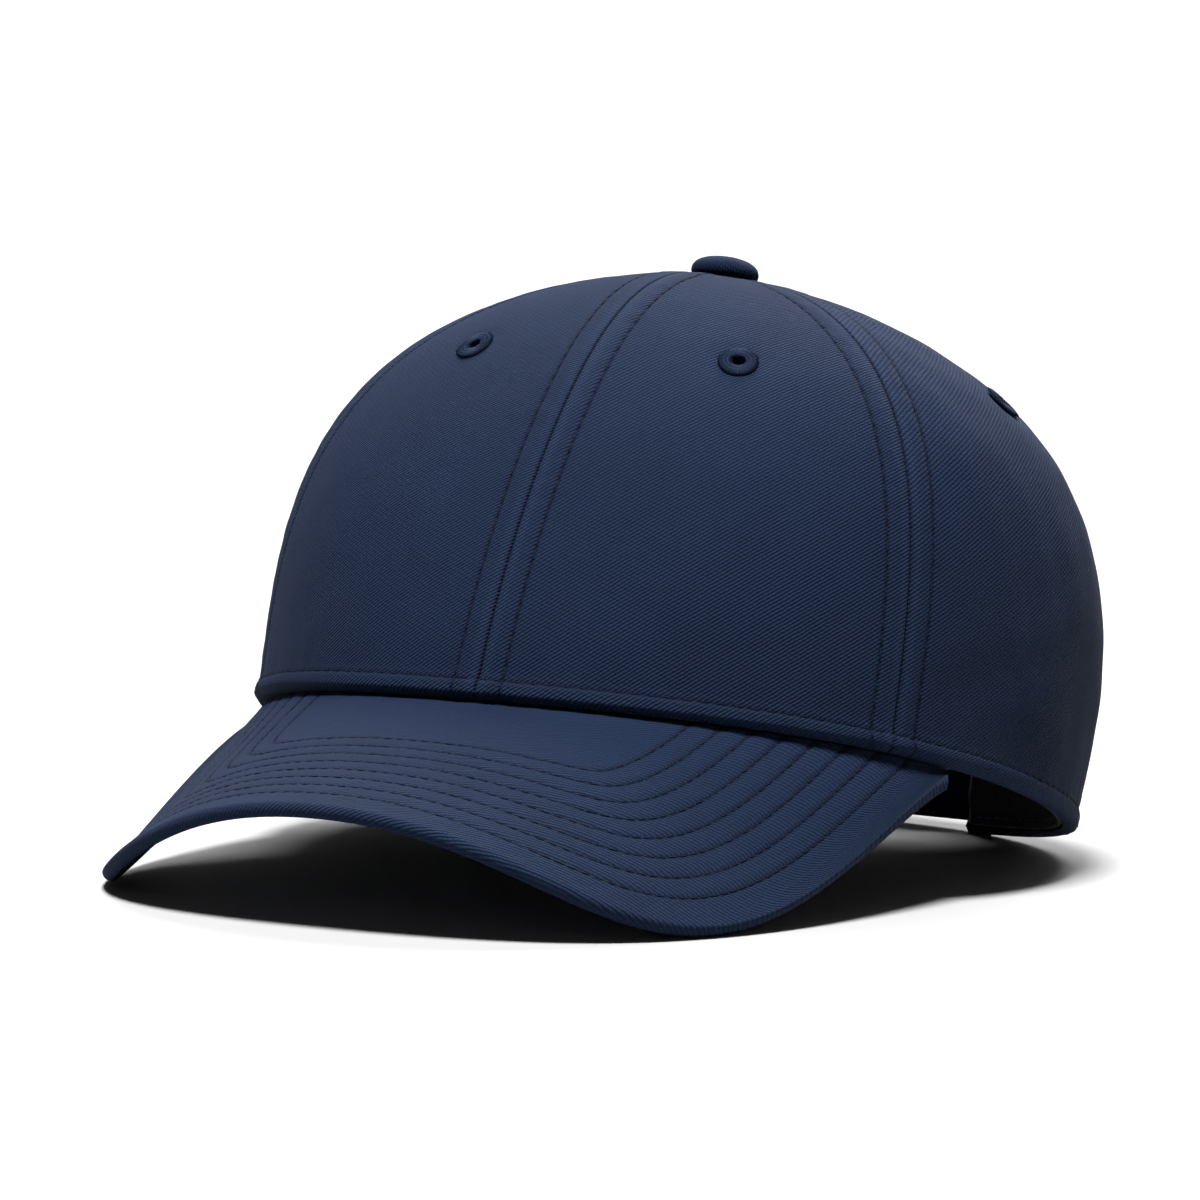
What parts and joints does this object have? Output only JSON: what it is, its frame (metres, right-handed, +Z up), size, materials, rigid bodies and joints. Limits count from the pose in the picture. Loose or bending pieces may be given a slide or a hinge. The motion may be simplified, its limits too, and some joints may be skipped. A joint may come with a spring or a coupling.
{
  "type": "baseball cap",
  "caption": "Baseball cap with a structured panelled crown, covered button, sewn eyelets, a curved stitched visor and a hook-and-loop back strap under an arched opening.",
  "frame": {"origin": "on the surface that the cap stands on, under the middle of its bounding box", "axes": "+Z up, -Y the way the visor points, +X the wearer's left. The cap stands tipped back on the two lobes of its visor and the back of its rim."},
  "size_m": [0.1778, 0.2577, 0.1292],
  "materials": {
    "crown_twill": "navy twill",
    "visor_twill": "navy twill",
    "visor_twill_under": "navy twill",
    "button_twill": "navy twill",
    "strap_twill": "navy twill",
    "binding": "navy binding tape",
    "eyelet_thread": "navy embroidery thread",
    "buckram": "stiff open weave",
    "seam_tape": "black woven tape",
    "sweatband": "black wicking cloth",
    "foam": "thin foam",
    "visor_board": "moulded board",
    "button_steel": "pressed steel",
    "hook_tape": "woven tape with hooks",
    "loop_tape": "woven tape with soft loops"
  },
  "bodies": {
    "cap": {"front_panel_left": "crown_twill", "front_panel_right": "crown_twill", "side_panel_left": "crown_twill", "side_panel_right": "crown_twill", "back_panel_left": "crown_twill", "back_panel_right": "crown_twill", "front_buckram_left": "buckram", "front_buckram_right": "buckram", "seam_tape_front": "seam_tape", "seam_tape_front_side_left": "seam_tape", "seam_tape_front_side_right": "seam_tape", "seam_tape_side_back_left": "seam_tape", "seam_tape_side_back_right": "seam_tape", "seam_tape_back": "seam_tape", "sweatband": "sweatband", "forehead_foam": "foam", "visor_top_cover": "visor_twill", "visor_board": "visor_board", "visor_under_cover": "visor_twill_under", "button_cover": "button_twill", "button_shell": "button_steel", "button_rivet": "button_steel", "button_washer": "button_steel", "eyelet_front_left": "eyelet_thread", "eyelet_front_right": "eyelet_thread", "eyelet_side_left": "eyelet_thread", "eyelet_side_right": "eyelet_thread", "eyelet_back_left": "eyelet_thread", "eyelet_back_right": "eyelet_thread", "back_arch_binding": "binding"},
    "outer_strap": {"hook_strap": "strap_twill", "hook_tape": "hook_tape"},
    "inner_strap": {"loop_strap": "strap_twill", "loop_tape": "loop_tape"}
  },
  "joints": [
    {"name": "outer_strap_open", "type": "hinge", "parent": "cap", "child": "outer_strap", "pos_m": [-0.02889, 0.12283, 0.01397], "axis": [0.0223, 0.1579, 0.9872], "range_deg": [0, 75]},
    {"name": "inner_strap_fold", "type": "hinge", "parent": "cap", "child": "inner_strap", "pos_m": [0.028, 0.1203, 0.01431], "axis": [-0.0201, 0.1557, 0.9876], "range_deg": [0, 40]}
  ]
}
